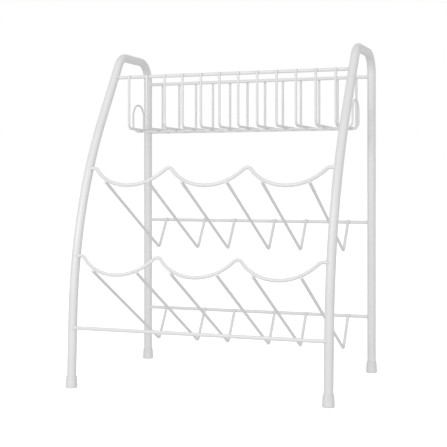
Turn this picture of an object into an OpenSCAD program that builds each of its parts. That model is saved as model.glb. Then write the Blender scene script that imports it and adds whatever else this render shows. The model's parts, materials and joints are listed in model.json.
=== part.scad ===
// Free-standing wine rack: six bottles lie in two sloping tiers under a wire basket.
// Two bent-tube side frames stand on push-on feet. Straight rails, scalloped front
// wires, bottle supports and basket wires are welded between them.
// Origin: on the floor, at the middle of the footprint. +X is to the right as seen from
// the front, +Y is to the back and +Z is up. Lengths are in millimetres.

/* [Side frames] */
// Distance between the centrelines of the two side frames
frame_span = 380; // [315:1:460]
// Distance from a front leg to a back leg at the floor
frame_depth = 266; // [220:1:320]
// Height of the centreline along the flat top
frame_height = 493.5; // [410:0.5:600]
// Depth of the flat top, between the corners that its bends round off
top_depth = 103; // [84:1:124]
// Outside diameter of the tube
tube_d = 13; // [11:0.5:16]
// Wall of the tube
tube_wall = 1.2; // [0.8:0.1:1.8]
// Centreline radius of the two bends at the top
top_bend_r = 30; // [22:1:36]
// Height of the knee that the long bow of a front leg rounds off
knee_height = 258; // [235:1:280]
// Length of leg that the bow takes up on each side of the knee
bow_reach = 156; // [110:1:165]
// Backward lean of a front leg at its foot, in degrees
foot_lean = 2.5; // [1:0.5:4]

/* [Feet] */
// Height of a foot cap
foot_height = 17; // [14:0.5:26]
// Wall of a foot cap at its rim
foot_wall = 1.2; // [0.8:0.1:2.4]
// Growth of a foot cap's radius from its rim to the floor
foot_flare = 0.8; // [0:0.1:2]
// Thickness of a foot cap under the end of the tube
foot_floor = 3; // [2:0.5:6]
// Radius of a foot cap's rounded rim
foot_rim_r = 0.6; // [0.3:0.1:0.8]
// Radius of the rounded edge round a foot cap's base
foot_base_r = 1.6; // [0.6:0.1:2.2]

/* [Straight rails] */
// Diameter of the straight rails
rail_d = 5.2; // [4:0.2:6]
// Distance of the two basket rails below the flat top
basket_rail_drop = 34.5; // [28:0.5:50]
// Distance of the front basket rail behind the centreline of the front legs
basket_rail_setback = 3; // [0:0.5:3.5]
// Height of the upper rear rail
upper_rail_height = 233; // [210:0.5:250]
// Height of the lower rear rail
lower_rail_height = 86.5; // [70:0.5:100]
// Height of the lower front bar
front_bar_height = 86; // [60:0.5:100]
// Distance of the front bar and scalloped wires before the centreline of the front legs
front_offset = 3.6; // [0:0.1:3.8]

/* [Scalloped wires] */
// Number of bottles side by side in a tier
bays = 3; // [2:1:4]
// Diameter of the scalloped wires
wave_d = 5; // [4:0.2:5.6]
// Height of the upper scalloped wire's peaks
upper_wave_height = 316; // [290:0.5:335]
// Height of the lower scalloped wire's peaks
lower_wave_height = 189; // [165:0.5:205]
// Slope of the scallops' flanks within the wire's own plane, in degrees
flank_angle = 50; // [42:1:53]
// Centreline radius of the peaks
peak_r = 7; // [5:0.5:10]
// Distance from a side frame's centreline to the nearest peak
wave_stub = 10; // [8:0.5:12]

/* [Bottle supports] */
// Diameter of the bottle supports
support_d = 4.4; // [3.6:0.2:5]
// Distance between the two supports under one bottle
support_spread = 68; // [50:1:74]
// Fall of a support towards the back, in degrees
support_slope = 28.7; // [26:0.2:33]
// Length of a support that stands out in front of its scalloped wire
support_nose = 3.5; // [3:0.5:12]
// Distance of the bend at the back of a support before the rear rails
vee_gap = 35; // [30:1:46]
// Centreline radius of the bend at the back of a support
vee_r = 5; // [4:0.5:8]
// Length of a support past its weld on the rear rail
support_tip = 0.5; // [0:0.5:4]

/* [Basket] */
// Diameter of the basket's cross wires
cross_wire_d = 3.8; // [3:0.2:4.6]
// Number of cross wires
cross_wires = 12; // [8:1:13]
// Distance from a side frame's centreline to the nearest cross wire
cross_wire_inset = 25; // [22:0.5:30]
// Depth of the basket from its rails to its floor
basket_depth = 80; // [62:1:96]
// Centreline radius of the basket's lower corners
basket_corner_r = 8; // [6:0.5:14]
// Height of the cross wires' cut ends above the centreline of the basket rails
cross_wire_tip = 2; // [1:0.5:3]
// Diameter of the floor loop
loop_d = 3; // [2.4:0.2:3.8]
// Distance between the two long sides of the floor loop
loop_gap = 40; // [34:1:60]
// Height of the arches at the ends of the floor loop
loop_rise = 43.5; // [36:0.5:56]
// Distance from a side frame's centreline to the nearest arch
loop_inset = 11; // [10:0.5:16]
// Centreline radius of the bends at the foot of an arch
loop_bend_r = 10; // [5:0.5:12]

/* [Welds] */
// Depth by which crossing wires are pressed into each other
weld_sink = 0.4; // [0.2:0.1:0.6]
// Loss of diameter where a tube or wire is bent
bend_draw = 0.04; // [0.03:0.01:0.1]

/* [Hidden] */
// Length by which a bent stretch runs into the straight ones beside it
lap = 0.3;
// Length of straight flank between a valley and a peak
flank_flat = 1;
// Length of straight wire at the crown of an arch
crown_flat = 2;
// Length by which a cutting shape runs past what it cuts
past = 5;
// Most that a flat step may cut off a bend
bow_sag = 0.05;
// Distance inside a tube's centreline at which an uncoped rail or wire starts
end_inset = 1;
// Straight wire between a floor loop's bend and the joint in its upright
upright_flat = 2;

rail_r = rail_d / 2;
wave_r = wave_d / 2;
support_r = support_d / 2;
cross_wire_r = cross_wire_d / 2;
loop_r = loop_d / 2;

front_foot_y = -frame_depth / 2;
back_y = frame_depth / 2;
left_x = -frame_span / 2;
right_x = frame_span / 2;

// Side profile of a frame, as [y, z] corners
knee = [front_foot_y + knee_height * tan(foot_lean), knee_height];
front_corner = [back_y - top_depth, frame_height];
back_corner = [back_y, frame_height];
top_lean = atan((front_corner.x - knee.x) / (frame_height - knee_height));
bow_r = bow_reach / tan((top_lean - foot_lean) / 2);
bow_start_z = knee_height - bow_reach * cos(foot_lean);
bow_end_z = knee_height + bow_reach * cos(top_lean);
bow_centre = [
    front_foot_y + bow_start_z * tan(foot_lean) + bow_r * cos(foot_lean),
    bow_start_z - bow_r * sin(foot_lean)
];
frame_path = [
    [front_foot_y + foot_floor * tan(foot_lean), foot_floor],
    knee,
    front_corner,
    back_corner,
    [back_y, foot_floor]
];
frame_bends = [bow_r, top_bend_r, top_bend_r];

// Scallops: each is a wide valley between two tight peaks
wave_pitch = (frame_span - 2 * wave_stub) / bays;
valley_r = (wave_pitch / 2 / cos(flank_angle) - flank_flat) / tan(flank_angle) - peak_r;
peak_rounding = peak_r * (1 / cos(flank_angle) - 1);
valley_rounding = valley_r * (1 / cos(flank_angle) - 1);
corner_fall = wave_pitch / 2 * tan(flank_angle);
stub_shift = peak_rounding / tan(flank_angle);

// Basket
basket_rail_z = frame_height - basket_rail_drop;
basket_front_y = leg_y(basket_rail_z) + basket_rail_setback;
basket_floor_z = basket_rail_z - basket_depth;
cross_wire_front_y = basket_front_y - weld_distance(rail_r, cross_wire_r);
cross_wire_back_y = back_y + weld_distance(rail_r, cross_wire_r);
cross_wire_pitch = (frame_span - 2 * cross_wire_inset) / (cross_wires - 1);
loop_z = basket_floor_z - weld_distance(cross_wire_r, loop_r);
loop_middle_y = (cross_wire_front_y + cross_wire_back_y) / 2;
arch_x = frame_span / 2 - loop_inset;

$fn = 48;

// Distance between the centrelines of two wires that cross and are welded
function weld_distance(r1, r2) = r1 + r2 - weld_sink;

function cross_wire_name(i) = str("basket_cross_wire_", i < 10 ? "0" : "", i);

// Place of a front leg's centreline at height z: straight foot, bow, straight top
function leg_y(z) =
    z < bow_start_z ? front_foot_y + z * tan(foot_lean)
    : z < bow_end_z ? bow_centre.x - sqrt(bow_r * bow_r - pow(z - bow_centre.y, 2))
    : front_corner.x - (frame_height - z) * tan(top_lean);

// Centreline place of a scalloped wire, front_offset square to the leg before it
function wave_y(peak_z) = leg_y(peak_z) - front_offset / cos(leg_lean(peak_z));
function leg_lean(z) =
    z < bow_start_z ? foot_lean
    : z < bow_end_z ? asin((z - bow_centre.y) / bow_r)
    : top_lean;

// How far a support lies below the peaks, in the scalloped wire's plane, when it is
// welded under the wire at distance x from the middle of a valley
function support_fall(x) =
    corner_fall - peak_rounding - valley_rounding - valley_r + sqrt(valley_r * valley_r - x * x)
    + weld_distance(wave_r, support_r) * valley_r / sqrt(valley_r * valley_r - x * x);

// Turn between the headings p to q and q to r, positive to the left
function turn_at(p, q, r) =
    let (a = q - p, b = r - q)
    atan2(a.x * b.y - a.y * b.x, a * b);

// Steps in a full circle for a bend of radius r: a wide bow takes more than a tight bend,
// so that no step cuts off more than bow_sag
function bend_steps(r) = max(48, ceil(180 / acos(1 - bow_sag / r)));

// Straight stretch of rod from p to q in the XY plane
module straight(p, q, d) {
    run = q - p;
    translate([p.x, p.y, 0])
        rotate([0, 0, atan2(run.y, run.x)])
            rotate([0, 90, 0])
                cylinder(h = norm(run), d = d);
}

// Bent stretch of rod that rounds off the corner q of p, q, r in the XY plane
module bend(p, q, r, bend_r, d) {
    turn = turn_at(p, q, r);
    side = sign(turn);
    heading = (q - p) / norm(q - p);
    start = q - bend_r * tan(abs(turn) / 2) * heading;
    overrun = lap / bend_r * 180 / PI;
    first = side > 0 ? -90 : 90 + turn;
    translate([start.x, start.y, 0])
        rotate([0, 0, atan2(heading.y, heading.x)])
            translate([0, side * bend_r, 0])
                rotate([0, 0, first - overrun])
                    rotate_extrude(angle = abs(turn) + 2 * overrun, $fn = bend_steps(bend_r))
                        translate([bend_r, 0])
                            circle(d = d - bend_draw, $fn = 48);
}

// Round rod along a path of corners in the XY plane, each rounded off to its radius
module bent_rod(path, radii, d, overrun = 0) {
    last = len(path) - 1;
    function shortening(i) =
        i == 0 || i == last ? -overrun
        : radii[i - 1] * tan(abs(turn_at(path[i - 1], path[i], path[i + 1])) / 2);
    for (i = [0 : last - 1]) {
        heading = (path[i + 1] - path[i]) / norm(path[i + 1] - path[i]);
        straight(path[i] + shortening(i) * heading, path[i + 1] - shortening(i + 1) * heading, d);
    }
    for (i = [1 : last - 1]) bend(path[i - 1], path[i], path[i + 1], radii[i - 1], d);
}

// Stands a shape drawn in [y, z] up in the plane at x
module side_plane(x) {
    translate([x, 0, 0]) rotate([90, 0, 90]) children();
}

// Stands a shape drawn in [x, z] up in the plane at y
module front_plane(y) {
    translate([0, y, 0]) rotate([90, 0, 0]) children();
}

// Places a shape drawn about the line of the peaks in a plane square to the supports
module wave_plane(peak_z) {
    translate([0, wave_y(peak_z), peak_z]) rotate([90 - support_slope, 0, 0]) children();
}

// A side frame's outer shape, filled: what is welded to it is coped with this
module frame_bar(x) {
    side_plane(x) bent_rod(frame_path, frame_bends, tube_d);
}

// One tube bent into the whole side: front leg, flat top and back leg
module side_frame(x) {
    color("whitesmoke")
        difference() {
            frame_bar(x);
            side_plane(x) bent_rod(frame_path, frame_bends, tube_d - 2 * tube_wall, past);
        }
}

// Half section of a foot cap with rounded edges, as [radius, height]
foot_rim_x = tube_d / 2 + foot_wall;
foot_base_x = foot_rim_x + foot_flare;
function rounded_edge(x, z, r, from) =
    [for (a = [from : 15 : from + 90]) [x - r + r * cos(a), z + r * sin(a)]];
foot_section = concat(
    [[0, 0]],
    rounded_edge(foot_base_x, foot_base_r, foot_base_r, -90),
    rounded_edge(foot_rim_x, foot_height - foot_rim_r, foot_rim_r, 0),
    [[0, foot_height]]
);

// Push-on cap over the end of a leg, cut flat where it stands on the floor
module foot(x, y, lean) {
    sunk = foot_base_x * sin(lean);
    color("gainsboro")
        difference() {
            translate([x, y, 0])
                rotate([-lean, 0, 0])
                    difference() {
                        translate([0, 0, -sunk]) rotate_extrude() polygon(foot_section);
                        translate([0, 0, foot_floor / cos(lean)]) cylinder(h = foot_height, d = tube_d);
                    }
            translate([x - past - foot_base_x, y - past - foot_base_x, -past])
                cube([2 * (foot_base_x + past), 2 * (foot_base_x + past), past]);
        }
}

// Straight rail from one side frame to the other, coped to the tubes
module rail(y, z) {
    color("whitesmoke")
        difference() {
            translate([left_x + end_inset, y, z])
                rotate([0, 90, 0])
                    cylinder(h = frame_span - 2 * end_inset, d = rail_d);
            frame_bar(left_x);
            frame_bar(right_x);
        }
}

// Corners of a scalloped wire about the line of its peaks: a stub, then valleys and peaks in turn
wave_path = concat(
    [[left_x + end_inset, 0], [left_x + wave_stub + stub_shift, 0]],
    [for (i = [1 : 2 * bays - 1]) [
        left_x + wave_stub + i * wave_pitch / 2,
        peak_rounding - (i % 2) * corner_fall
    ]],
    [[right_x - wave_stub - stub_shift, 0], [right_x - end_inset, 0]]
);
wave_bends = concat([peak_r], [for (i = [1 : 2 * bays - 1]) i % 2 == 1 ? valley_r : peak_r], [peak_r]);

// Front wire that cradles the bottles' necks, coped to the tubes at both ends
module wave_wire(peak_z) {
    color("whitesmoke")
        difference() {
            wave_plane(peak_z) bent_rod(wave_path, wave_bends, wave_d);
            frame_bar(left_x);
            frame_bar(right_x);
        }
}

// The valley of one bay alone: what is welded under it is coped with this
module valley(peak_z, bay) {
    i = 2 * bay + 2;
    wave_plane(peak_z) bend(wave_path[i - 1], wave_path[i], wave_path[i + 1], valley_r, wave_d);
}

// Short length of a lengthwise wire about x: what crosses it is coped with this
module lengthwise(x, y, z, d) {
    translate([x - past, y, z]) rotate([0, 90, 0]) cylinder(h = 2 * past, d = d);
}

// Support number i of a tier: slopes down from the valley, turns up and meets the rear rail
module bottle_support(i, peak_z, rail_z) {
    bay = floor((i - 1) / 2);
    side = i % 2 == 1 ? -1 : 1;
    x = left_x + wave_stub + (bay + 0.5) * wave_pitch + side * support_spread / 2;
    fall = support_fall(support_spread / 2);
    front = [wave_y(peak_z) - fall * sin(support_slope), peak_z - fall * cos(support_slope)];
    back_run = back_y - vee_gap - front.x;
    vee = [back_y - vee_gap, front.y - back_run * tan(support_slope)];
    nose = front - support_nose * [cos(support_slope), -sin(support_slope)];
    to_rail = [back_y, rail_z] - vee;
    clear = weld_distance(rail_r, support_r);
    rise = atan2(to_rail.y, to_rail.x) + asin(clear / norm(to_rail));
    reach = sqrt(to_rail * to_rail - clear * clear) + support_tip;
    tip = vee + reach * [cos(rise), sin(rise)];
    color("whitesmoke")
        difference() {
            side_plane(x) bent_rod([nose, vee, tip], [vee_r], support_d);
            valley(peak_z, bay);
            lengthwise(x, back_y, rail_z, rail_d);
        }
}

// Basket cross wire number i: hangs outside both basket rails and carries the basket floor
module basket_cross_wire(i) {
    x = left_x + cross_wire_inset + (i - 1) * cross_wire_pitch;
    tip_z = basket_rail_z + cross_wire_tip;
    path = [
        [cross_wire_front_y, tip_z],
        [cross_wire_front_y, basket_floor_z],
        [cross_wire_back_y, basket_floor_z],
        [cross_wire_back_y, tip_z]
    ];
    color("whitesmoke")
        difference() {
            side_plane(x) bent_rod(path, [basket_corner_r, basket_corner_r], cross_wire_d);
            for (y = [basket_front_y, back_y]) lengthwise(x, y, basket_rail_z, rail_d);
            for (y = [loop_middle_y - loop_gap / 2, loop_middle_y + loop_gap / 2])
                lengthwise(x, y, loop_z, loop_d);
        }
}

// Closed loop under the cross wires, with both ends turned up into arches
module basket_floor_loop() {
    arch_r = (loop_gap - crown_flat) / 2;
    joint_z = loop_z + loop_bend_r + upright_flat;
    front_y = loop_middle_y - loop_gap / 2;
    rear_y = loop_middle_y + loop_gap / 2;
    side_path = [[-arch_x, joint_z], [-arch_x, loop_z], [arch_x, loop_z], [arch_x, joint_z]];
    arch_path = [
        [front_y, joint_z],
        [front_y, loop_z + loop_rise],
        [rear_y, loop_z + loop_rise],
        [rear_y, joint_z]
    ];
    color("whitesmoke") {
        for (y = [front_y, rear_y])
            front_plane(y) bent_rod(side_path, [loop_bend_r, loop_bend_r], loop_d);
        for (x = [-arch_x, arch_x])
            side_plane(x) bent_rod(arch_path, [arch_r, arch_r], loop_d - bend_draw, lap);
    }
}

side_frame(left_x);  // left_side_frame
side_frame(right_x);  // right_side_frame
foot(left_x, front_foot_y, foot_lean);  // foot_front_left
foot(right_x, front_foot_y, foot_lean);  // foot_front_right
foot(left_x, back_y, 0);  // foot_rear_left
foot(right_x, back_y, 0);  // foot_rear_right
rail(basket_front_y, basket_rail_z);  // basket_front_rail
rail(back_y, basket_rail_z);  // basket_rear_rail
rail(back_y, upper_rail_height);  // upper_rear_rail
rail(back_y, lower_rail_height);  // lower_rear_rail
rail(leg_y(front_bar_height) - front_offset, front_bar_height);  // lower_front_bar
wave_wire(upper_wave_height);  // upper_wave_wire
wave_wire(lower_wave_height);  // lower_wave_wire
for (i = [1 : 2 * bays])
    bottle_support(i, upper_wave_height, upper_rail_height);
for (i = [1 : 2 * bays])
    bottle_support(i, lower_wave_height, lower_rail_height);
for (i = [1 : cross_wires])
    basket_cross_wire(i);
basket_floor_loop();
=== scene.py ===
"""White wire wine rack, dressed for a studio view.

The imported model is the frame: its tubes, rails and wires stay as they are and take a
powder-coat finish. The foot caps are modelled again with their moulded detail, and the
welds and the coated ends of the wires are added.

Lengths are in metres in the frame's own axes: +X right, +Y back, +Z up.
"""

import json
import logging
import math
from collections.abc import Callable, Iterable, Sequence
from dataclasses import dataclass
from enum import Enum
from typing import Any

import bmesh
import bpy
from mathutils import Matrix, Vector
from mathutils.bvhtree import BVHTree

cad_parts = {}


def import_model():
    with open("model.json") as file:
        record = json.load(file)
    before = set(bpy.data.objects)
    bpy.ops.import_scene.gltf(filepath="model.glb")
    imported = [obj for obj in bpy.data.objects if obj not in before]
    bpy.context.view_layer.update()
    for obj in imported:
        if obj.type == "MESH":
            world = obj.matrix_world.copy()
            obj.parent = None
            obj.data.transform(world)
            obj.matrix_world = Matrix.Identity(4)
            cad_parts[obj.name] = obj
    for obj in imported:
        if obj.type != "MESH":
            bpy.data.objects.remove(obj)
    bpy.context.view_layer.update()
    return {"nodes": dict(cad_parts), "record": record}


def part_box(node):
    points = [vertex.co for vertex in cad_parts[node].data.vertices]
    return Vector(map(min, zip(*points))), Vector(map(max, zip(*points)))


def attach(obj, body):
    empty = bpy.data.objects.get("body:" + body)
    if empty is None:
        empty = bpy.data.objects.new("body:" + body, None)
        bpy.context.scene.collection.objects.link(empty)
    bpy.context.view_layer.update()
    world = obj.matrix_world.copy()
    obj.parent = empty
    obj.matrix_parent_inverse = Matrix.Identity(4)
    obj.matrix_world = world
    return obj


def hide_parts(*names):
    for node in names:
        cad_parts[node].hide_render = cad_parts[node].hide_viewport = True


LOG = logging.getLogger("wine_rack")
MM = 0.001
ROOT = "root"
COAT_SLOT = "powder_coated_steel"
CAP_SLOT = "foot_cap"


class Side(Enum):
    """The two side frames, by the sign of their X."""

    LEFT = -1
    RIGHT = 1

    @property
    def frame_node(self) -> str:
        """Name of this side's bent tube."""
        return f"{self.name.lower()}_side_frame"


class Tier(Enum):
    """The two tiers of bottle supports."""

    UPPER = "upper"
    LOWER = "lower"

    @property
    def wave_node(self) -> str:
        """Name of this tier's scalloped wire."""
        return f"{self.value}_wave_wire"

    @property
    def rail_node(self) -> str:
        """Name of the rear rail that this tier's supports are welded to."""
        return f"{self.value}_rear_rail"


class FootPlace(Enum):
    """The four feet: each one's node and the backward lean of its leg in degrees."""

    FRONT_LEFT = ("foot_front_left", 2.5)
    FRONT_RIGHT = ("foot_front_right", 2.5)
    REAR_LEFT = ("foot_rear_left", 0.0)
    REAR_RIGHT = ("foot_rear_right", 0.0)

    @property
    def node(self) -> str:
        """Name of this foot's node in the frame."""
        return self.value[0]

    @property
    def lean(self) -> float:
        """Backward lean of this foot's leg in radians."""
        return math.radians(self.value[1])


# ---------------------------------------------------------------------------
# Finishes
# ---------------------------------------------------------------------------


class ShaderBench:
    """A material's node tree with short calls for adding and joining nodes."""

    def __init__(self, name: str) -> None:
        """Starts an empty material.

        Args:
            name: Name of the material.
        """
        self.material = bpy.data.materials.new(name)
        self.material.use_nodes = True
        self.tree = self.material.node_tree
        self.tree.nodes.clear()
        self.output = self.add("ShaderNodeOutputMaterial")
        self.surface = self.add("ShaderNodeBsdfPrincipled")
        self.join(self.surface, "BSDF", self.output, "Surface")

    def add(self, kind: str, **settings: object) -> bpy.types.Node:
        """Adds a node.

        Args:
            kind: Blender's name for the node type.
            **settings: Attributes to set on the node.

        Returns:
            The new node.
        """
        node = self.tree.nodes.new(kind)
        for key, value in settings.items():
            setattr(node, key, value)
        return node

    def join(
        self, source: bpy.types.Node, out: str | int, target: bpy.types.Node, into: str | int
    ) -> None:
        """Links one node's output socket to another node's input socket."""
        self.tree.links.new(source.outputs[out], target.inputs[into])

    def noise(
        self, size: float, detail: float, stretch: tuple[float, float, float] = (1, 1, 1)
    ) -> bpy.types.Node:
        """Adds a noise on the piece's own coordinates.

        Args:
            size: Width of one lump, in metres.
            detail: Number of finer octaves.
            stretch: How much finer the lumps are along each axis.

        Returns:
            The noise node.
        """
        place = self.add("ShaderNodeTexCoord")
        mapping = self.add("ShaderNodeMapping")
        mapping.inputs["Scale"].default_value = stretch
        lumps = self.add("ShaderNodeTexNoise")
        lumps.inputs["Scale"].default_value = 1 / size
        lumps.inputs["Detail"].default_value = detail
        self.join(place, "Object", mapping, "Vector")
        self.join(mapping, "Vector", lumps, "Vector")
        return lumps

    def spread(self, source: bpy.types.Node, low: float, high: float) -> bpy.types.Node:
        """Maps a noise's middle range onto low to high.

        Args:
            source: The noise node.
            low: Value where the noise is weak.
            high: Value where the noise is strong.

        Returns:
            The Map Range node.
        """
        ranged = self.add("ShaderNodeMapRange")
        ranged.inputs["From Min"].default_value = 0.3
        ranged.inputs["From Max"].default_value = 0.7
        ranged.inputs["To Min"].default_value = low
        ranged.inputs["To Max"].default_value = high
        self.join(source, "Fac", ranged, "Value")
        return ranged

    def colour_between(
        self, source: bpy.types.Node, first: Sequence[float], second: Sequence[float]
    ) -> None:
        """Colours the surface from first to second as the source runs from 0 to 1."""
        mix = self.add("ShaderNodeMix", data_type="RGBA")
        mix.inputs[6].default_value = (*first, 1)
        mix.inputs[7].default_value = (*second, 1)
        self.join(source, "Result", mix, 0)
        self.join(mix, 2, self.surface, "Base Color")

    def relief(self, layers: Sequence[tuple[bpy.types.Node, float]]) -> None:
        """Raises the surface by a stack of noises.

        Args:
            layers: Each noise with its height in metres.
        """
        below = None
        for source, height in layers:
            bump = self.add("ShaderNodeBump")
            bump.inputs["Strength"].default_value = 1.0
            bump.inputs["Distance"].default_value = height
            self.join(source, "Fac", bump, "Height")
            if below is not None:
                self.join(below, "Normal", bump, "Normal")
            below = bump
        if below is not None:
            self.join(below, "Normal", self.surface, "Normal")


@dataclass(frozen=True)
class PowderCoat:
    """White semi-gloss powder coat: one even film that flowed out with a fine orange peel."""

    name: str = "white_powder_coat"
    colour: tuple[float, float, float] = (0.790, 0.792, 0.797)
    thin_colour: tuple[float, float, float] = (0.765, 0.767, 0.773)
    roughness: tuple[float, float] = (0.34, 0.42)
    film_patch: float = 0.045
    peel_size: float = 0.0022
    peel_height: float = 0.000012
    dust_size: float = 0.0006
    dust_height: float = 0.000003

    def make(self) -> bpy.types.Material:
        """Builds the finish as a material."""
        bench = ShaderBench(self.name)
        patches = bench.noise(self.film_patch, 2)
        bench.colour_between(bench.spread(patches, 0, 1), self.thin_colour, self.colour)
        flow = bench.noise(self.film_patch / 6, 1)
        bench.join(bench.spread(flow, *self.roughness), "Result", bench.surface, "Roughness")
        bench.surface.inputs["IOR"].default_value = 1.48
        bench.surface.inputs["Specular IOR Level"].default_value = 0.5
        bench.surface.inputs["Coat Weight"].default_value = 0.12
        bench.surface.inputs["Coat Roughness"].default_value = 0.28
        bench.relief(
            [
                (bench.noise(self.peel_size, 1), self.peel_height),
                (bench.noise(self.dust_size, 0), self.dust_height),
            ]
        )
        return bench.material


@dataclass(frozen=True)
class CapPlastic:
    """Matt off-white moulded plastic with a fine spark-eroded grain."""

    name: str = "moulded_cap_plastic"
    colour: tuple[float, float, float] = (0.785, 0.785, 0.788)
    worn_colour: tuple[float, float, float] = (0.745, 0.743, 0.742)
    roughness: tuple[float, float] = (0.52, 0.62)
    scuff_size: float = 0.006
    grain_size: float = 0.0005
    grain_height: float = 0.00001

    def make(self) -> bpy.types.Material:
        """Builds the finish as a material."""
        bench = ShaderBench(self.name)
        scuffs = bench.noise(self.scuff_size, 3, (1, 1, 2.5))
        bench.colour_between(bench.spread(scuffs, 0, 1), self.worn_colour, self.colour)
        bench.join(bench.spread(scuffs, *self.roughness), "Result", bench.surface, "Roughness")
        bench.surface.inputs["IOR"].default_value = 1.49
        bench.surface.inputs["Specular IOR Level"].default_value = 0.42
        bench.relief([(bench.noise(self.grain_size, 1), self.grain_height)])
        return bench.material


@dataclass(frozen=True)
class FloorPaint:
    """Plain pale studio floor."""

    name: str = "pale_floor"
    colour: tuple[float, float, float] = (0.90, 0.90, 0.90)
    glow: float = 0.55

    def make(self) -> bpy.types.Material:
        """Builds the finish as a material."""
        bench = ShaderBench(self.name)
        bench.surface.inputs["Base Color"].default_value = (*self.colour, 1)
        bench.surface.inputs["Roughness"].default_value = 0.9
        bench.surface.inputs["Specular IOR Level"].default_value = 0.1
        bench.surface.inputs["Emission Color"].default_value = (1, 1, 1, 1)
        bench.surface.inputs["Emission Strength"].default_value = self.glow
        return bench.material


# ---------------------------------------------------------------------------
# Bench work
# ---------------------------------------------------------------------------


class Bench:
    """Operators for shaping a mesh, each one acting only on what was picked for it."""

    @staticmethod
    def clear() -> None:
        """Leaves edit mode and deselects every object."""
        if bpy.context.mode != "OBJECT":
            bpy.ops.object.mode_set(mode="OBJECT")
        bpy.ops.object.select_all(action="DESELECT")

    @classmethod
    def only(cls, piece: bpy.types.Object) -> None:
        """Selects one piece alone and makes it the active one."""
        cls.clear()
        piece.select_set(True)
        bpy.context.view_layer.objects.active = piece

    @staticmethod
    def pick_vertices(piece: bpy.types.Object, wanted: Callable[[Vector], bool]) -> int:
        """Selects the vertices of the piece in edit mode that pass a test.

        Args:
            piece: The piece, in edit mode.
            wanted: Says of a vertex's place whether it is selected.

        Returns:
            The number of vertices selected.
        """
        bpy.ops.mesh.select_all(action="DESELECT")
        bpy.ops.mesh.select_mode(type="VERT")
        mesh = bmesh.from_edit_mesh(piece.data)
        count = 0
        for vertex in mesh.verts:
            if wanted(vertex.co):
                vertex.select = True
                count += 1
        mesh.select_flush(True)
        bmesh.update_edit_mesh(piece.data)
        return count

    @classmethod
    def turned(
        cls, name: str, section: Sequence[tuple[float, float]], segments: int
    ) -> bpy.types.Object:
        """Turns a closed piece about Z by extruding and resizing a disc.

        Args:
            name: Name of the piece.
            section: Half section as (radius, height), from one end to the other.
            segments: Number of sides of the disc.

        Returns:
            The piece, in object mode.
        """
        cls.clear()
        radius, height = section[0]
        bpy.ops.mesh.primitive_circle_add(
            vertices=segments, radius=radius, fill_type="NGON", location=(0, 0, 0)
        )
        piece = bpy.context.active_object
        piece.name = piece.data.name = name
        bpy.ops.object.mode_set(mode="EDIT")
        bpy.ops.mesh.select_all(action="SELECT")
        bpy.ops.transform.translate(value=(0, 0, height))
        bpy.ops.mesh.select_mode(type="FACE")
        for next_radius, next_height in section[1:]:
            bpy.ops.mesh.extrude_region_move(
                TRANSFORM_OT_translate={"value": (0, 0, next_height - height)}
            )
            scale = next_radius / radius
            bpy.ops.transform.resize(value=(scale, scale, 1), center_override=(0, 0, next_height))
            radius, height = next_radius, next_height
        bpy.ops.mesh.select_all(action="SELECT")
        bpy.ops.mesh.normals_make_consistent(inside=False)
        bpy.ops.object.mode_set(mode="OBJECT")
        return piece

    @classmethod
    def modify(cls, piece: bpy.types.Object, kind: str, **settings: object) -> None:
        """Adds a modifier to a piece and applies it.

        Args:
            piece: The piece.
            kind: Blender's name for the modifier type.
            **settings: Attributes to set on the modifier.
        """
        cls.only(piece)
        modifier = piece.modifiers.new(kind.title(), kind)
        for key, value in settings.items():
            setattr(modifier, key, value)
        bpy.ops.object.modifier_apply(modifier=modifier.name)

    @classmethod
    def roughen(cls, piece: bpy.types.Object, lump: float, height: float) -> None:
        """Makes a surface slightly uneven, as run weld metal is.

        Args:
            piece: The piece.
            lump: Width of one lump.
            height: Height of the lumps.
        """
        texture = bpy.data.textures.new(f"{piece.name}_lumps", "CLOUDS")
        texture.noise_scale = lump
        cls.modify(
            piece,
            "DISPLACE",
            texture=texture,
            texture_coords="LOCAL",
            strength=height,
            mid_level=0.5,
        )

    @classmethod
    def place_copies(
        cls, pattern: bpy.types.Object, name: str, places: Iterable[Matrix]
    ) -> bpy.types.Object:
        """Copies a pattern to each place and joins the copies into one piece.

        Args:
            pattern: The piece to copy. It is left as it was.
            name: Name of the joined piece.
            places: Where each copy goes.

        Returns:
            The joined piece, with its place in its mesh.
        """
        copies = []
        for place in places:
            copy = pattern.copy()
            copy.data = pattern.data.copy()
            bpy.context.scene.collection.objects.link(copy)
            copy.matrix_world = place
            copies.append(copy)
        cls.clear()
        for copy in copies:
            copy.select_set(True)
        bpy.context.view_layer.objects.active = copies[0]
        bpy.ops.object.transform_apply(location=True, rotation=True, scale=True)
        if len(copies) > 1:
            bpy.ops.object.join()
        piece = bpy.context.active_object
        piece.name = piece.data.name = name
        return piece

    @classmethod
    def finish_surface(cls, piece: bpy.types.Object, angle: float) -> None:
        """Shades a piece smooth, except across edges sharper than angle degrees."""
        cls.only(piece)
        bpy.ops.object.shade_smooth_by_angle(angle=math.radians(angle))

    @classmethod
    def scrap(cls, piece: bpy.types.Object) -> None:
        """Deletes a pattern that has been copied to its places."""
        cls.only(piece)
        bpy.ops.object.delete()


@dataclass(frozen=True)
class Contact:
    """Where two nodes are welded: the middle of the seat and the direction across it."""

    centre: Vector
    across: Vector


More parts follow.
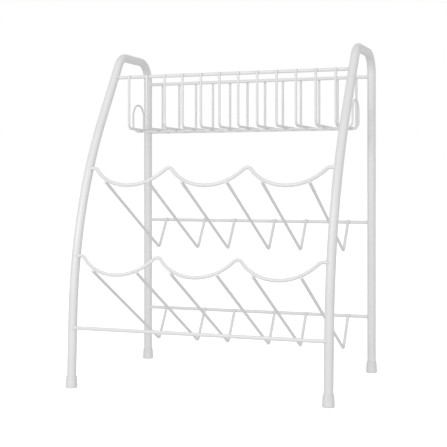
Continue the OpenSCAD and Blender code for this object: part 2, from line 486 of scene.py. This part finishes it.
class Seats:
    """Finds the welded seats between the frame's nodes from their own surfaces."""

    def __init__(
        self,
        nodes: dict[str, bpy.types.Object],
        reach: float = 0.12 * MM,
        apart: float = 8 * MM,
    ) -> None:
        """Keeps the nodes to measure.

        Args:
            nodes: The frame's nodes by name.
            reach: How close a point must be to the other surface to count as touching.
            apart: Touching points further apart than this belong to separate seats.
        """
        self.nodes = nodes
        self.reach = reach
        self.apart = apart
        self.trees: dict[str, BVHTree] = {}

    def tree(self, name: str) -> BVHTree:
        """Search tree of a node's surface, built on first use."""
        if name not in self.trees:
            mesh = self.nodes[name].data
            self.trees[name] = BVHTree.FromPolygons(
                [vertex.co.copy() for vertex in mesh.vertices],
                [tuple(polygon.vertices) for polygon in mesh.polygons],
            )
        return self.trees[name]

    def between(self, crossing: str, carrier: str) -> list[Contact]:
        """Finds every seat of one node on another.

        Args:
            crossing: The node whose points are tested.
            carrier: The node that it is welded to.

        Returns:
            The seats, one for each separate group of touching points.
        """
        tree = self.tree(carrier)
        groups: list[list[tuple[Vector, Vector]]] = []
        for vertex in self.nodes[crossing].data.vertices:
            spot, normal, _, _ = tree.find_nearest(vertex.co, self.reach)
            if spot is None:
                continue
            for group in groups:
                if (group[0][0] - spot).length < self.apart:
                    group.append((spot, normal))
                    break
            else:
                groups.append([(spot, normal)])
        return [self.middle(group) for group in groups]

    @staticmethod
    def middle(group: Sequence[tuple[Vector, Vector]]) -> Contact:
        """Middle of a group of touching points and their mean direction."""
        spots = [spot for spot, _ in group]
        low = Vector(min(spot[axis] for spot in spots) for axis in range(3))
        high = Vector(max(spot[axis] for spot in spots) for axis in range(3))
        normals = sum((normal for _, normal in group), Vector())
        return Contact((low + high) / 2, normals.normalized())


# ---------------------------------------------------------------------------
# The rack
# ---------------------------------------------------------------------------


class Assembly:
    """A sub-assembly of the rack, which knows its nodes and its finish."""

    def __init__(self, nodes: dict[str, bpy.types.Object], finish: bpy.types.Material) -> None:
        """Keeps what every sub-assembly needs.

        Args:
            nodes: The frame's nodes by name.
            finish: The material of this sub-assembly.
        """
        self.nodes = nodes
        self.finish = finish

    def dress(self, names: Iterable[str]) -> None:
        """Gives the finish to nodes of the frame."""
        for name in names:
            mesh = self.nodes[name].data
            mesh.materials.clear()
            mesh.materials.append(self.finish)
            LOG.info("dressed %s", name)

    def hand_over(self, piece: bpy.types.Object, slot: str) -> None:
        """Gives a new piece its finish and lets it ride on the rack.

        Args:
            piece: The finished piece.
            slot: Not used; the piece takes the assembly's finish.
        """
        piece.data.materials.clear()
        piece.data.materials.append(self.finish)
        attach(piece, ROOT)
        LOG.info("built %s with %d faces", piece.name, len(piece.data.polygons))


@dataclass
class FootCaps:
    """Push-on caps: a moulded cup with a rounded rim, grip rings and a ribbed sole."""

    assembly: Assembly
    standing: dict[str, Vector]
    segments: int = 72
    bore: float = 6.5 * MM
    floor: float = 3.0 * MM
    rim_round: float = 0.6 * MM
    base_round: float = 1.6 * MM
    flare: float = 0.8 * MM
    plain_height: float = 6 * MM
    rim_step: float = 0.1 * MM
    inner_ring: float = 2 * MM
    sole_rings: tuple[tuple[float, float], ...] = (
        (1.4, 0.5),
        (2.4, 0.5),
        (2.6, 0.1),
        (3.6, 0.1),
        (3.8, 0.5),
        (4.9, 0.5),
        (5.2, 0.0),
    )
    edge_turns: tuple[float, ...] = (18, 36, 54, 72, 90)
    rim_turns: tuple[float, ...] = (0, 22, 45, 68, 90)
    groove_depth: float = 0.28 * MM
    groove_heights: tuple[float, ...] = (12.2 * MM, 13.7 * MM)
    groove_shape: tuple[tuple[float, float], ...] = (
        (-0.36, 0),
        (-0.22, 0.7),
        (0, 1),
        (0.22, 0.7),
        (0.36, 0),
    )
    ridge: float = 1.012
    ridge_from: float = 1.7 * MM
    ridge_below_rim: float = 0.7 * MM
    ridge_width: float = 0.05 * MM

    def section(self, radius: float, rim_radius: float, height: float) -> list[tuple[float, float]]:
        """Half section of a cap, from the middle of its sole to the floor of its bore.

        Args:
            radius: Largest radius, just above the floor.
            rim_radius: Radius at the rim.
            height: Height of the cap.

        Returns:
            The section as (radius, height).
        """
        sole = [(ring * MM, level * MM) for ring, level in self.sole_rings]
        edge = [
            (
                radius - self.base_round * (1 - math.sin(math.radians(turn))),
                self.base_round * (1 - math.cos(math.radians(turn))),
            )
            for turn in self.edge_turns
        ]

        def flank(level: float) -> float:
            """Radius of the tapering side at a height."""
            share = (level - self.base_round) / (height - self.rim_round - self.base_round)
            return radius + (rim_radius - radius) * share

        grip = []
        for middle in self.groove_heights:
            for offset, depth in self.groove_shape:
                level = middle + offset * MM
                grip.append((flank(level) - depth * self.groove_depth, level))
        rim = [
            (
                rim_radius - self.rim_round * (1 - math.cos(math.radians(turn))),
                height - self.rim_round * (1 - math.sin(math.radians(turn))),
            )
            for turn in self.rim_turns
        ]
        bore = [
            (self.bore, height - self.rim_step),
            (self.bore, self.floor),
            (self.inner_ring, self.floor),
        ]
        base = (radius - self.base_round, 0.0)
        side = (flank(self.plain_height), self.plain_height)
        return [*sole, base, *edge, side, *grip, *rim, *bore]

    def mould_lines(self, piece: bpy.types.Object, height: float) -> None:
        """Draws out the fine ridge that the two halves of the mould leave on each side.

        Args:
            piece: The cap, standing upright on the origin.
            height: Height of the cap.
        """
        Bench.only(piece)
        bpy.ops.object.mode_set(mode="EDIT")
        Bench.pick_vertices(
            piece,
            lambda co: abs(co.y) < self.ridge_width
            and abs(co.x) > self.bore + self.rim_step
            and self.ridge_from < co.z < height - self.ridge_below_rim,
        )
        bpy.ops.transform.resize(value=(self.ridge, 1, 1), center_override=(0, 0, height / 2))
        bpy.ops.object.mode_set(mode="OBJECT")

    def build(self, place: FootPlace) -> None:
        """Builds one cap over the end of its leg.

        Args:
            place: Which foot.
        """
        low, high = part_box(place.node)
        radius = (high.x - low.x) / 2
        rim_radius = radius - self.flare
        sunk = radius * math.sin(place.lean)
        height = high.z - (rim_radius - self.rim_round) * math.sin(place.lean) + sunk
        section = self.section(radius, rim_radius, height)
        piece = Bench.turned(f"{place.node}_cap", section, self.segments)
        self.mould_lines(piece, height)
        spot = self.standing[place.node]
        piece.matrix_world = (
            Matrix.Translation((spot.x, spot.y, -sunk)) @ Matrix.Rotation(-place.lean, 4, "X")
        )
        Bench.only(piece)
        bpy.ops.object.transform_apply(location=True, rotation=True, scale=True)
        if sunk > 0.01 * MM:
            self.cut_flat(piece)
        Bench.finish_surface(piece, 35)
        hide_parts(place.node)
        self.assembly.hand_over(piece, CAP_SLOT)

    @staticmethod
    def cut_flat(piece: bpy.types.Object) -> None:
        """Cuts a leaning cap flat where it stands on the floor."""
        Bench.only(piece)
        bpy.ops.object.mode_set(mode="EDIT")
        bpy.ops.mesh.select_all(action="SELECT")
        bpy.ops.mesh.bisect(
            plane_co=(0, 0, 0),
            plane_no=(0, 0, 1),
            use_fill=True,
            clear_inner=True,
            clear_outer=False,
            threshold=0.001 * MM,
        )
        bpy.ops.object.mode_set(mode="OBJECT")


@dataclass
class TubeWelds:
    """Beads run round the ends of the rails and scalloped wires, where they meet the side tubes."""

    assembly: Assembly
    seats: Seats
    around: int = 44
    across: int = 12
    bead_radius: float = 0.95 * MM
    proud: float = 0.1 * MM
    longest_end: float = 4.6 * MM
    ripple: float = 1.5 * MM
    ripple_height: float = 0.2 * MM

    def bead(self, rail: str, side: Side) -> bpy.types.Object:
        """Builds the bead at one end of a rail, bent to the tube's round surface.

        Args:
            rail: The rail's node.
            side: Which side frame.

        Returns:
            The bead.
        """
        axis, radius = self.rail_end(rail, side)
        Bench.clear()
        bpy.ops.mesh.primitive_torus_add(
            major_segments=self.around,
            minor_segments=self.across,
            major_radius=radius + self.proud,
            minor_radius=self.bead_radius,
            location=(0, axis.y, axis.z),
            rotation=(0, math.radians(90), 0),
        )
        piece = bpy.context.active_object
        piece.name = piece.data.name = f"{rail}_bead"
        bpy.ops.object.transform_apply(location=True, rotation=True, scale=True)
        tube = self.seats.tree(side.frame_node)
        outward = Vector((side.value, 0, 0))
        for vertex in piece.data.vertices:
            spoke = Vector((0, vertex.co.y - axis.y, vertex.co.z - axis.z)).normalized()
            start = axis + spoke * radius
            spot = tube.ray_cast(start, outward)[0] or tube.find_nearest(start)[0]
            vertex.co.x += spot.x
        Bench.roughen(piece, self.ripple, self.ripple_height)
        return piece

    def build(self, side: Side, rails: Sequence[str]) -> None:
        """Builds the beads of one side frame.

        Args:
            side: Which side frame.
            rails: The nodes whose ends are welded to it.
        """
        beads = [self.bead(rail, side) for rail in rails]
        Bench.clear()
        for bead in beads:
            bead.select_set(True)
        bpy.context.view_layer.objects.active = beads[0]
        bpy.ops.object.join()
        piece = bpy.context.active_object
        piece.name = piece.data.name = f"{side.name.lower()}_frame_welds"
        Bench.finish_surface(piece, 60)
        self.assembly.hand_over(piece, COAT_SLOT)

    def rail_end(self, rail: str, side: Side) -> tuple[Vector, float]:
        """Finds the axis and radius of a rail from its hollowed end.

        Args:
            rail: The rail's node.
            side: Which side frame.

        Returns:
            A point on the axis, in the middle of the rack, and the radius.
        """
        places = [vertex.co for vertex in self.assembly.nodes[rail].data.vertices]
        reach = max(co.x * side.value for co in places)
        end = [co for co in places if co.x * side.value > reach - self.longest_end]
        low = Vector(min(co[axis] for co in end) for axis in range(3))
        high = Vector(max(co[axis] for co in end) for axis in range(3))
        middle = (low + high) / 2
        return Vector((0, middle.y, middle.z)), (high.z - low.z) / 2


class Collar(Enum):
    """Sizes of the squeezed-out collars: radius and half height in millimetres."""

    SUPPORT = (2.1, 1.0)
    BASKET_RAIL = (1.9, 0.9)
    FLOOR_LOOP = (1.5, 0.75)

    @property
    def radius(self) -> float:
        """Radius of the collar."""
        return self.value[0] * MM

    @property
    def half_height(self) -> float:
        """Half of the collar's height."""
        return self.value[1] * MM


@dataclass
class CrossWelds:
    """Small squeezed-out collars where one wire is pressed and welded to another."""

    assembly: Assembly
    seats: Seats
    segments: int = 16
    profile: tuple[tuple[float, float], ...] = (
        (0.45, -1.0),
        (0.78, -0.8),
        (0.95, -0.42),
        (1.0, 0.0),
        (0.95, 0.42),
        (0.78, 0.8),
        (0.45, 1.0),
    )
    ripple: float = 1.2 * MM
    ripple_height: float = 0.1 * MM

    def pattern(self, collar: Collar) -> bpy.types.Object:
        """Builds one collar about Z, at the origin.

        Args:
            collar: Which size of collar.

        Returns:
            The pattern.
        """
        section = [(collar.radius * r, collar.half_height * z) for r, z in self.profile]
        pattern = Bench.turned("collar_pattern", section, self.segments)
        Bench.roughen(pattern, self.ripple, self.ripple_height)
        return pattern

    def build(self, name: str, pairs: Iterable[tuple[str, str]], collar: Collar) -> None:
        """Builds the collars of a set of crossings as one piece.

        Args:
            name: Name of the piece.
            pairs: The crossing node and the node that carries it.
            collar: Which size of collar.
        """
        pattern = self.pattern(collar)
        places = []
        for crossing, carrier in pairs:
            for contact in self.seats.between(crossing, carrier):
                turn = contact.across.to_track_quat("Z", "Y").to_matrix().to_4x4()
                places.append(Matrix.Translation(contact.centre) @ turn)
        piece = Bench.place_copies(pattern, name, places)
        Bench.scrap(pattern)
        Bench.finish_surface(piece, 60)
        self.assembly.hand_over(piece, COAT_SLOT)
        LOG.info("%s joins %d crossings", name, len(places))


@dataclass
class WireEnds:
    """Domes of coating over the cut ends of the wires."""

    assembly: Assembly
    segments: int = 24
    dome: float = 0.5 * MM
    skirt: float = 0.35 * MM
    film: float = 0.04 * MM
    skirt_draw: float = 0.03 * MM
    shoulder: float = 0.05 * MM
    turns: tuple[float, ...] = (15, 30, 45, 60, 75)
    flat_share: float = 0.42
    crown_share: float = 0.2
    crown_turn: float = 86

    def pattern(self, radius: float) -> bpy.types.Object:
        """Builds one dome about Z, with the wire's cut end at the origin.

        Args:
            radius: Radius of the wire.

        Returns:
            The pattern.
        """
        full = radius + self.film
        skirt = [
            (full - self.skirt_draw, -self.skirt),
            (full, -self.skirt * 0.6),
            (full, -self.shoulder),
        ]
        dome = []
        for turn in self.turns:
            angle = math.radians(turn)
            share = self.flat_share + (1 - self.flat_share) * math.cos(angle)
            dome.append((full * share, self.dome * math.sin(angle)))
        crown = (full * self.crown_share, self.dome * math.sin(math.radians(self.crown_turn)))
        return Bench.turned("end_pattern", [*skirt, *dome, crown], self.segments)

    def build(self, name: str, ends: Iterable[tuple[Vector, Vector]], radius: float) -> None:
        """Builds the domes of a set of wires as one piece.

        Args:
            name: Name of the piece.
            ends: Centre of each cut end and the direction that it faces.
            radius: Radius of the wires.
        """
        pattern = self.pattern(radius)
        places = [
            Matrix.Translation(centre) @ facing.to_track_quat("Z", "Y").to_matrix().to_4x4()
            for centre, facing in ends
        ]
        piece = Bench.place_copies(pattern, name, places)
        Bench.scrap(pattern)
        Bench.finish_surface(piece, 50)
        self.assembly.hand_over(piece, COAT_SLOT)


@dataclass(frozen=True)
class SupportBend:
    """Shape of a bottle support in its own upright plane."""

    slope: float = math.radians(28.7)
    bend_gap: float = 35 * MM
    tip: float = 0.5 * MM
    pressed: float = 0.4 * MM

    def ends(self, support: str, rail: str) -> list[tuple[Vector, Vector]]:
        """Finds both cut ends of a support.

        Args:
            support: The support's node.
            rail: The rear rail that it is welded to.

        Returns:
            Centre of each cut end and the direction that it faces.
        """
        low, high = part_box(support)
        radius = (high.x - low.x) / 2
        middle = (low.x + high.x) / 2
        along = Vector((0, math.cos(self.slope), -math.sin(self.slope)))
        nose = Vector((middle, low.y - radius * along.z, high.z - radius * along.y))
        rail_low, rail_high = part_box(rail)
        rail_y, rail_z = (rail_low.y + rail_high.y) / 2, (rail_low.z + rail_high.z) / 2
        bend_y = rail_y - self.bend_gap
        bend_z = nose.z - (bend_y - nose.y) * math.tan(self.slope)
        away = math.hypot(rail_y - bend_y, rail_z - bend_z)
        clear = (rail_high.z - rail_low.z) / 2 + radius - self.pressed
        rise = math.atan2(rail_z - bend_z, rail_y - bend_y) + math.asin(clear / away)
        reach = math.sqrt(away * away - clear * clear) + self.tip
        upright = Vector((0, math.cos(rise), math.sin(rise)))
        return [(nose, -along), (Vector((middle, bend_y, bend_z)) + reach * upright, upright)]


def basket_wire_ends(wire: str) -> list[tuple[Vector, Vector]]:
    """Finds both cut ends of a basket cross wire, which face straight up."""
    low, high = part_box(wire)
    radius = (high.x - low.x) / 2
    middle = (low.x + high.x) / 2
    up = Vector((0, 0, 1))
    return [(Vector((middle, y, high.z)), up) for y in (low.y + radius, high.y - radius)]


class Rack:
    """The whole rack, from its feet to its basket."""

    BASKET_RAILS = ("basket_front_rail", "basket_rear_rail")
    RAILS = (*BASKET_RAILS, "upper_rear_rail", "lower_rear_rail", "lower_front_bar")
    FLOOR_LOOP = "basket_floor_loop"

    def __init__(self, nodes: dict[str, bpy.types.Object], record: dict[str, Any]) -> None:
        """Reads what the frame has of each kind and where its feet stand.

        Args:
            nodes: The frame's nodes by name.
            record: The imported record.
        """
        self.nodes = nodes
        self.seats = Seats(nodes)
        self.supports = {
            tier: sorted(name for name in nodes if name.startswith(f"{tier.value}_support_"))
            for tier in Tier
        }
        self.cross_wires = sorted(name for name in nodes if name.startswith("basket_cross_wire_"))
        self.standing = {
            mount["name"].removesuffix("_base"): Vector(mount["pos_m"])
            for mount in record["mounts"]
        }
        self.steel = Assembly(nodes, PowderCoat().make())
        self.caps = Assembly(nodes, CapPlastic().make())

    def dress_frame(self) -> None:
        """Coats every steel node of the frame."""
        feet = {place.node for place in FootPlace}
        self.steel.dress(name for name in sorted(self.nodes) if name not in feet)
        self.caps.dress(sorted(feet))

    def build_feet(self) -> None:
        """Builds the four foot caps."""
        caps = FootCaps(self.caps, self.standing)
        for place in FootPlace:
            caps.build(place)

    def build_frame_welds(self) -> None:
        """Builds the beads on both side frames."""
        welds = TubeWelds(self.steel, self.seats)
        ends = [*self.RAILS, *(tier.wave_node for tier in Tier)]
        for side in Side:
            welds.build(side, ends)

    def build_crossings(self) -> None:
        """Builds the collars where wires cross."""
        welds = CrossWelds(self.steel, self.seats)
        for tier in Tier:
            pairs = [(name, tier.wave_node) for name in self.supports[tier]]
            welds.build(f"{tier.value}_scallop_welds", pairs, Collar.SUPPORT)
            pairs = [(name, tier.rail_node) for name in self.supports[tier]]
            welds.build(f"{tier.value}_support_welds", pairs, Collar.SUPPORT)
        for rail in self.BASKET_RAILS:
            pairs = [(name, rail) for name in self.cross_wires]
            welds.build(f"{rail}_welds", pairs, Collar.BASKET_RAIL)
        pairs = [(name, self.FLOOR_LOOP) for name in self.cross_wires]
        welds.build("basket_floor_welds", pairs, Collar.FLOOR_LOOP)

    def build_wire_ends(self) -> None:
        """Builds the domes over the cut ends of the wires."""
        domes = WireEnds(self.steel)
        bend = SupportBend()
        for tier in Tier:
            ends = [end for name in self.supports[tier] for end in bend.ends(name, tier.rail_node)]
            radius = self.rod_width(self.supports[tier][0]) / 2
            domes.build(f"{tier.value}_support_ends", ends, radius)
        ends = [end for name in self.cross_wires for end in basket_wire_ends(name)]
        domes.build("cross_wire_ends", ends, self.rod_width(self.cross_wires[0]) / 2)

    @staticmethod
    def rod_width(node: str) -> float:
        """Diameter of a wire that lies in a plane square to X."""
        low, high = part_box(node)
        return high.x - low.x


# ---------------------------------------------------------------------------
# The studio
# ---------------------------------------------------------------------------


@dataclass(frozen=True)
class CameraRig:
    """Level camera, to the right of the rack's front."""

    place: tuple[float, float, float] = (0.5340, -1.4605, 0.2946)
    turn: float = math.radians(20.285)
    lens: float = 83.73
    sensor: float = 36.0
    shift_y: float = -0.0912

    def build(self) -> None:
        """Sets up the camera and makes it the scene's own."""
        data = bpy.data.cameras.new("camera")
        data.lens = self.lens
        data.sensor_width = self.sensor
        data.shift_y = self.shift_y
        camera = bpy.data.objects.new("camera", data)
        camera.location = self.place
        camera.rotation_euler = (math.radians(90), 0, self.turn)
        bpy.context.scene.collection.objects.link(camera)
        bpy.context.scene.camera = camera


@dataclass(frozen=True)
class SoftBox:
    """A square soft light that faces the rack."""

    name: str
    place: tuple[float, float, float]
    width: float
    power: float
    target: tuple[float, float, float] = (0.0, 0.0, 0.25)

    def build(self) -> None:
        """Hangs the light."""
        data = bpy.data.lights.new(self.name, "AREA")
        data.size = self.width
        data.energy = self.power
        light = bpy.data.objects.new(self.name, data)
        light.location = self.place
        aim = Vector(self.target) - Vector(self.place)
        light.rotation_euler = aim.to_track_quat("-Z", "Y").to_euler()
        bpy.context.scene.collection.objects.link(light)


@dataclass(frozen=True)
class Panel:
    """A broad soft panel of the light dome, brightest in one direction."""

    towards: tuple[float, float, float]
    strength: float


@dataclass(frozen=True)
class LightDome:
    """Even light from all round, with soft panels to the front, back, right, top and bottom."""

    even: float = 0.37
    backdrop: float = 1.0
    panels: tuple[Panel, ...] = (
        Panel((0.0, 0.0, 1.0), 0.126),
        Panel((0.0, 0.0, -1.0), 0.208),
        Panel((0.938, 0.347, 0.0), 0.191),
        Panel((0.347, -0.938, 0.0), 0.386),
        Panel((-0.347, 0.938, 0.0), 0.306),
    )

    def build(self) -> None:
        """Wraps the scene in the dome, with a plain white backdrop for the camera."""
        world = bpy.data.worlds.new("light_dome")
        bpy.context.scene.world = world
        world.use_nodes = True
        tree = world.node_tree
        tree.nodes.clear()
        direction = tree.nodes.new("ShaderNodeTexCoord")
        total = None
        for panel in self.panels:
            lobe = self.lobe(tree, direction, panel)
            add = tree.nodes.new("ShaderNodeMath")
            add.operation = "ADD"
            add.inputs[1].default_value = self.even
            if total is not None:
                tree.links.new(total.outputs[0], add.inputs[1])
            tree.links.new(lobe.outputs[0], add.inputs[0])
            total = add
        dome = tree.nodes.new("ShaderNodeBackground")
        tree.links.new(total.outputs[0], dome.inputs["Color"])
        backdrop = tree.nodes.new("ShaderNodeBackground")
        backdrop.inputs["Color"].default_value = (self.backdrop, self.backdrop, self.backdrop, 1)
        path = tree.nodes.new("ShaderNodeLightPath")
        blend = tree.nodes.new("ShaderNodeMixShader")
        output = tree.nodes.new("ShaderNodeOutputWorld")
        tree.links.new(path.outputs["Is Camera Ray"], blend.inputs["Fac"])
        tree.links.new(dome.outputs["Background"], blend.inputs[1])
        tree.links.new(backdrop.outputs["Background"], blend.inputs[2])
        tree.links.new(blend.outputs["Shader"], output.inputs["Surface"])

    @staticmethod
    def lobe(tree: bpy.types.NodeTree, direction: bpy.types.Node, panel: Panel) -> bpy.types.Node:
        """Adds one panel's share of the light.

        Args:
            tree: The world's node tree.
            direction: The node that gives the direction.
            panel: The panel.

        Returns:
            The node that gives the panel's brightness.
        """
        facing = tree.nodes.new("ShaderNodeVectorMath")
        facing.operation = "DOT_PRODUCT"
        facing.inputs[1].default_value = panel.towards
        tree.links.new(direction.outputs["Generated"], facing.inputs[0])
        lit_side = tree.nodes.new("ShaderNodeMath")
        lit_side.operation = "MAXIMUM"
        lit_side.inputs[1].default_value = 0
        tree.links.new(facing.outputs["Value"], lit_side.inputs[0])
        scaled = tree.nodes.new("ShaderNodeMath")
        scaled.operation = "MULTIPLY"
        scaled.inputs[1].default_value = panel.strength
        tree.links.new(lit_side.outputs[0], scaled.inputs[0])
        return scaled


@dataclass(frozen=True)
class Studio:
    """Pale floor, a dome of soft light and one soft box at the front left."""

    floor_size: float = 60.0
    floor_gap: float = 0.2 * MM
    dome: LightDome = LightDome()
    key: SoftBox = SoftBox("key_light", (-0.30, -1.50, 0.90), 0.8, 9.7)

    def build(self) -> None:
        """Sets up the floor and the lights."""
        self.lay_floor()
        self.dome.build()
        self.key.build()
        bpy.context.scene.view_settings.view_transform = "Standard"

    def lay_floor(self) -> None:
        """Lays the floor, which lets light through so that it throws none up at the rack."""
        Bench.clear()
        bpy.ops.mesh.primitive_plane_add(size=self.floor_size, location=(0, 0, -self.floor_gap))
        floor = bpy.context.active_object
        floor.name = "floor"
        floor.data.materials.append(FloorPaint().make())
        floor.visible_diffuse = False
        floor.visible_glossy = False
        floor.visible_shadow = False


def main() -> None:
    """Loads the frame, sets up the camera, builds the rack and lights it."""
    logging.basicConfig(level=logging.INFO, format="%(name)s: %(message)s")
    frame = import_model()
    CameraRig().build()
    rack = Rack(frame["nodes"], frame["record"])
    rack.dress_frame()
    rack.build_feet()
    rack.build_frame_welds()
    rack.build_crossings()
    rack.build_wire_ends()
    Studio().build()


if __name__ == "__main__":
    main()
